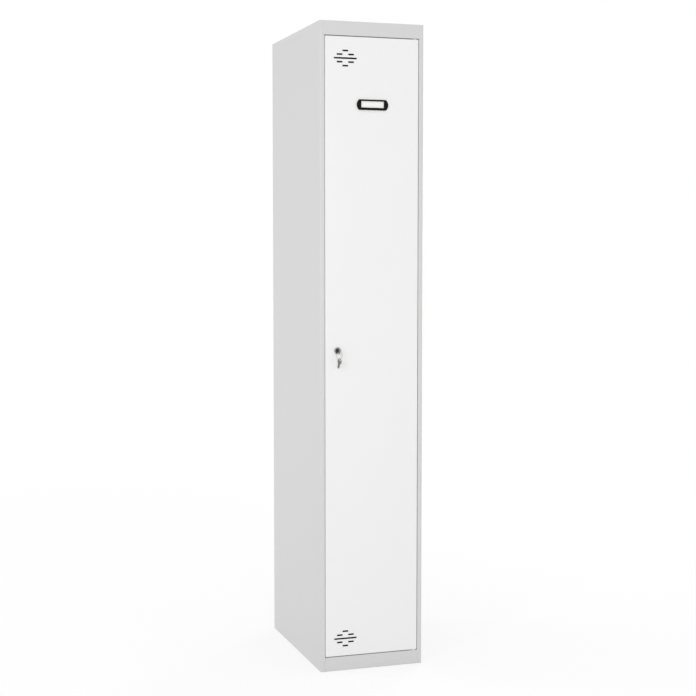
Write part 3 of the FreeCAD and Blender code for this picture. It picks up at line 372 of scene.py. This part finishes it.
def copy_to(pattern, place, turn):
    """A copy of a piece with its own mesh, put at a place and a turn."""
    pick(pattern)
    bpy.ops.object.duplicate(linked=False)
    copied = bpy.context.object
    put(copied, place, turn)
    return copied


def smooth(piece, crease):
    pick(piece)
    bpy.ops.object.shade_smooth_by_angle(angle=math.radians(crease))


def joined(pieces):
    pick(pieces[0])
    for piece in pieces:
        piece.select_set(True)
    bpy.ops.object.join()
    return bpy.context.object


def settle(piece, name, body, slot, finish=None):
    """Name a finished piece, give it its slot's finish or its own, and put it on its body."""
    piece.name = name
    piece.data.materials.clear()
    piece.data.materials.append(finish or finishes[slot])
    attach(piece, body)


def add_rod(radius, low, high, sides):
    """A short round bar along Z between two heights, as the start of a turned piece."""
    bpy.ops.object.select_all(action="DESELECT")
    bpy.ops.mesh.primitive_cylinder_add(vertices=sides, radius=radius, depth=high - low,
                                        location=(0, 0, (low + high) / 2))
    bpy.ops.object.transform_apply(location=True, rotation=True, scale=True)
    return bpy.context.object


def select_end(piece, upward):
    """In edit mode, select the top face of a bar, or the bottom one where upward is -1."""
    bpy.ops.object.mode_set(mode="EDIT")
    bpy.ops.mesh.select_mode(type="FACE")
    bpy.ops.mesh.select_all(action="DESELECT")
    bpy.ops.object.mode_set(mode="OBJECT")
    end = max(piece.data.polygons, key=lambda face: face.center.z * upward)
    end.select = True
    bpy.ops.object.mode_set(mode="EDIT")


def turn_rings(piece, upward, radius, rings):
    """Draw out the end of a bar ring by ring, each risen and widened or narrowed from the one before."""
    select_end(piece, upward)
    for rise, wanted in rings:
        bpy.ops.mesh.extrude_region_move(TRANSFORM_OT_translate={"value": (0, 0, rise * upward)})
        share = wanted / radius
        bpy.ops.transform.resize(value=(share, share, 1), center_override=(0, 0, 0))
        radius = wanted
    bpy.ops.object.mode_set(mode="OBJECT")


def blind_rivet(grip):
    """A pulled rivet on its seat at the origin: domed head with the broken mandrel in it, shank and tail."""
    rivet = add_rod(RIVET_SHANK, -grip, 0, RIVET_SIDES)
    turn_rings(rivet, 1, RIVET_SHANK, RIVET_HEAD_RINGS)
    turn_rings(rivet, -1, RIVET_SHANK, RIVET_TAIL_RINGS)
    smooth(rivet, RIVET_CREASE)
    return rivet


def rivets(node, grip, turn, spots):
    """Rivets at the spots in place of the plain ones of a node."""
    pattern = blind_rivet(grip)
    for number, spot in enumerate(spots, start=1):
        rivet = copy_to(pattern, spot, turn)
        settle(rivet, "%s_%d" % (node, number), "cabinet", "rivet_alloy")
        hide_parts(node)
    bpy.data.objects.remove(pattern)


def all_rivets():
    """The rivets down the back's two edges, and those of the rail's brackets in the shelf."""
    low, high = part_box("back_rivets")
    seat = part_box("left_side_panel")[1][1]
    x, first, last = high[0] - RIVET_HEAD, low[2] + RIVET_HEAD, high[2] - RIVET_HEAD
    gaps = BACK_RIVETS_PER_SIDE - 1
    rows = [first + (last - first) * step / gaps for step in range(BACK_RIVETS_PER_SIDE)]
    spots = [(side * x, seat, z) for side in (-1, 1) for z in rows]
    rivets("back_rivets", BACK_GRIP, TOWARDS_BACK, spots)
    low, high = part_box("rail_rivets")
    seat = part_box("hat_shelf")[1][2]
    rows = (low[1] + RIVET_HEAD, high[1] - RIVET_HEAD)
    spots = [(side * (high[0] - RIVET_HEAD), y, seat) for side in (-1, 1) for y in rows]
    rivets("rail_rivets", BRACKET_GRIP, UPRIGHT, spots)


def weld_mark():
    """The shallow crater that a spot-welding tip leaves, standing on its sheet at the origin."""
    mark = add_rod(WELD_RADIUS, WELD_FOOT, WELD_LIP, WELD_SIDES)
    turn_rings(mark, 1, WELD_RADIUS, WELD_RINGS)
    smooth(mark, WELD_CREASE)
    return mark


def weld_rows():
    """Spot welds down the door stiffener's two rims, and along the side flanges of the shelf and the top."""
    pattern = weld_mark()
    low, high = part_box("door_stiffener")
    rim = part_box("door_panel")[0][1] + 2 * SHEET
    run = high[2] - low[2] - 2 * RIM_END
    heights = [low[2] + RIM_END + run * step / (RIM_WELDS - 1) for step in range(RIM_WELDS)]
    spots = [(side * RIM_OFFSET, rim, z) for side in (-1, 1) for z in heights]
    marks = [copy_to(pattern, spot, TOWARDS_BACK) for spot in spots]
    settle(joined(marks), "stiffener_weld_marks", "door", "door_paint")
    marks = []
    for node in ("hat_shelf", "top_panel"):
        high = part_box(node)[1]
        for side in (-1, 1):
            for step in range(FLANGE_WELDS):
                spot = (side * (high[0] - SHEET), FLANGE_FIRST + FLANGE_STEP * step, high[2] - FLANGE_DROP)
                marks.append(copy_to(pattern, spot, (0, -side * QUARTER_TURN, 0)))
    settle(joined(marks), "cabinet_weld_marks", "cabinet", "cabinet_paint")
    bpy.data.objects.remove(pattern)


def wound(sides, size, radius, rise, turns, steps):
    """A wire of a small cross-section wound about Z by the Screw modifier, its two ends closed."""
    bpy.ops.object.select_all(action="DESELECT")
    bpy.ops.mesh.primitive_circle_add(vertices=sides, radius=1, rotation=(QUARTER_TURN, 0, 0))
    wire = bpy.context.object
    bpy.ops.object.transform_apply(location=True, rotation=True, scale=True)
    bpy.ops.object.mode_set(mode="EDIT")
    bpy.ops.mesh.select_all(action="SELECT")
    bpy.ops.transform.resize(value=(size[0], 1, size[1]), center_override=(0, 0, 0))
    bpy.ops.transform.translate(value=(radius, 0, -rise * turns / 2))
    bpy.ops.object.mode_set(mode="OBJECT")
    screw = wire.modifiers.new("winding", "SCREW")
    screw.axis = "Z"
    screw.angle = math.tau * turns
    screw.screw_offset = rise * turns
    screw.steps = screw.render_steps = steps * turns
    screw.use_smooth_shade = True
    bpy.ops.object.modifier_apply(modifier=screw.name)
    bpy.ops.object.mode_set(mode="EDIT")
    bpy.ops.mesh.select_all(action="SELECT")
    bpy.ops.mesh.fill_holes(sides=0)
    bpy.ops.mesh.select_all(action="SELECT")
    bpy.ops.mesh.normals_make_consistent(inside=False)
    bpy.ops.object.mode_set(mode="OBJECT")
    return wire


def lock_thread():
    """The rolled thread on the lock's barrel, from behind the nut to near the barrel's end."""
    low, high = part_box("lock_housing")
    thread = wound(THREAD_SIDES, (THREAD_RIDGE, THREAD_RIDGE), BARREL_RADIUS - THREAD_SINK,
                   THREAD_PITCH, THREAD_TURNS, THREAD_STEPS)
    nut_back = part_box("lock_nut")[1][1]
    middle = ((low[0] + high[0]) / 2, (nut_back + high[1]) / 2, (low[2] + high[2]) / 2)
    put(thread, middle, (QUARTER_TURN, 0, 0))
    smooth(thread, THREAD_CREASE)
    settle(thread, "lock_thread", "door", "chrome")


def split_ring():
    """The key ring as it is made, of flat wire wound twice."""
    low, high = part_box("key_ring")
    ring = wound(RING_SIDES, RING_WIRE, RING_RADIUS, RING_COIL, RING_WINDINGS, RING_STEPS)
    put(ring, [(a + b) / 2 for a, b in zip(low, high)], (QUARTER_TURN, 0, RING_TURN))
    smooth(ring, RING_CREASE)
    settle(ring, "split_ring", "key_ring", "nickel", nickel_plate("ring_nickel_plate", RING_SHADES))
    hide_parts("key_ring")


# Stage, light and camera

WHITE = (1, 1, 1, 1)
WORLD_STRENGTH = 0.78
FLOOR_SIZE = 40
FLOOR_HEIGHT = -0.0003
FLOOR_GREY = (0.65, 0.65, 0.65, 1)
# The share of the floor's own light and shadow in what is seen, the white that makes up the rest of it,
# and the distance from the locker's middle over which that fades into plain white
FLOOR_SHADOW = 0.5
FLOOR_WHITE = 1.34
FLOOR_FADE = 3.5
# Each softbox: name, place, the point it faces, width and height, power in watts
SOFTBOXES = (
    ("front_softbox", (-0.9, -4.5, 0.8), (0, -0.2, 0.85), (1.2, 2.6), 57.0),
    ("side_softbox", (-3.0, 1.4, 0.82), (-0.15, 0, 0.85), (0.5, 1.2), 15.5),
    ("back_softbox", (2.7, 2.9, 0.9), (0, 0, 0.9), (0.8, 1.6), 34.0),
    ("glint_softbox", (-2.2, -2.2, 1.85), (-0.14, -0.23, 1.5), (0.2, 0.5), 10.0),
)
# The picture's width and the lens's focal length in pixels, the sensor's width in millimetres
PICTURE = 696
LENS_PIXELS = 1433.27
SENSOR = 36.0
CLIP_END = 100
CAMERA_PLACE = (-1.29335, -4.00381, 1.18274)
CAMERA_YAW = -0.31413
CAMERA_PITCH = -0.06956


def plain_white(lit, kind, strength):
    """A shader that gives off white, in the same node tree as a lit one."""
    return lit.node(kind, None, {"Color": WHITE, "Strength": strength})


def seen_directly(lit):
    """1 for rays from the camera, from a mirror-like surface or through a clear one, 0 for the rest."""
    path = lit.tree.nodes.new("ShaderNodeLightPath")
    camera_ray = Socket(lit.tree, path.outputs["Is Camera Ray"])
    mirrored = Socket(lit.tree, path.outputs["Is Glossy Ray"])
    through = Socket(lit.tree, path.outputs["Is Transmission Ray"])
    return lit.maths("MAXIMUM", camera_ray, lit.maths("MAXIMUM", mirrored, through))


def floor():
    """A pale floor that looks white, with the locker's soft shadow in the white near it."""
    bpy.ops.object.select_all(action="DESELECT")
    bpy.ops.mesh.primitive_plane_add(size=FLOOR_SIZE, location=(0, 0, FLOOR_HEIGHT))
    ground = bpy.context.object
    ground.name = "studio_floor"
    material, shader, place = new_finish("pale_floor", Base_Color=FLOOR_GREY, Roughness=0.9)
    lit = Socket(material.node_tree, shader.outputs["BSDF"])
    shaded = two_shaders(FLOOR_SHADOW, plain_white(lit, "ShaderNodeEmission", FLOOR_WHITE), lit)
    fade = stretched(place, (1 / FLOOR_FADE, 1 / FLOOR_FADE, 1 / FLOOR_FADE))
    near = fade.node("ShaderNodeTexGradient", {"gradient_type": "SPHERICAL"}, {"Vector": fade}, "Fac")
    looks = two_shaders(near, plain_white(lit, "ShaderNodeEmission", 1.0), shaded)
    two_shaders(seen_directly(lit), lit, looks).feed(material.node_tree.nodes["Material Output"], "Surface")
    ground.data.materials.append(material)


def world():
    """Even light from all round, white where the camera looks past the floor."""
    surround = bpy.data.worlds.new("studio")
    surround.use_nodes = True
    bpy.context.scene.world = surround
    background = surround.node_tree.nodes["Background"]
    background.inputs["Color"].default_value = WHITE
    background.inputs["Strength"].default_value = WORLD_STRENGTH
    lit = Socket(surround.node_tree, background.outputs["Background"])
    looks = plain_white(lit, "ShaderNodeBackground", 1.0)
    two_shaders(seen_directly(lit), lit, looks).feed(surround.node_tree.nodes["World Output"], "Surface")


def softbox(name, place, target, size, power):
    lamp = bpy.data.lights.new(name, "AREA")
    lamp.shape = "RECTANGLE"
    lamp.size, lamp.size_y = size
    lamp.energy = power
    holder = bpy.data.objects.new(name, lamp)
    bpy.context.scene.collection.objects.link(holder)
    holder.location = place
    holder.rotation_euler = (Vector(target) - Vector(place)).to_track_quat("-Z", "Y").to_euler()


def camera():
    lens = bpy.data.cameras.new("photo_camera")
    lens.sensor_width = SENSOR
    lens.lens = LENS_PIXELS / PICTURE * SENSOR
    lens.clip_end = CLIP_END
    holder = bpy.data.objects.new("photo_camera", lens)
    bpy.context.scene.collection.objects.link(holder)
    holder.location = CAMERA_PLACE
    holder.rotation_euler = (QUARTER_TURN + CAMERA_PITCH, 0, CAMERA_YAW)
    bpy.context.scene.camera = holder


dress_nodes()
all_rivets()
weld_rows()
lock_thread()
split_ring()
floor()
world()
for row in SOFTBOXES:
    softbox(*row)
camera()
bpy.context.scene.view_settings.view_transform = "Standard"
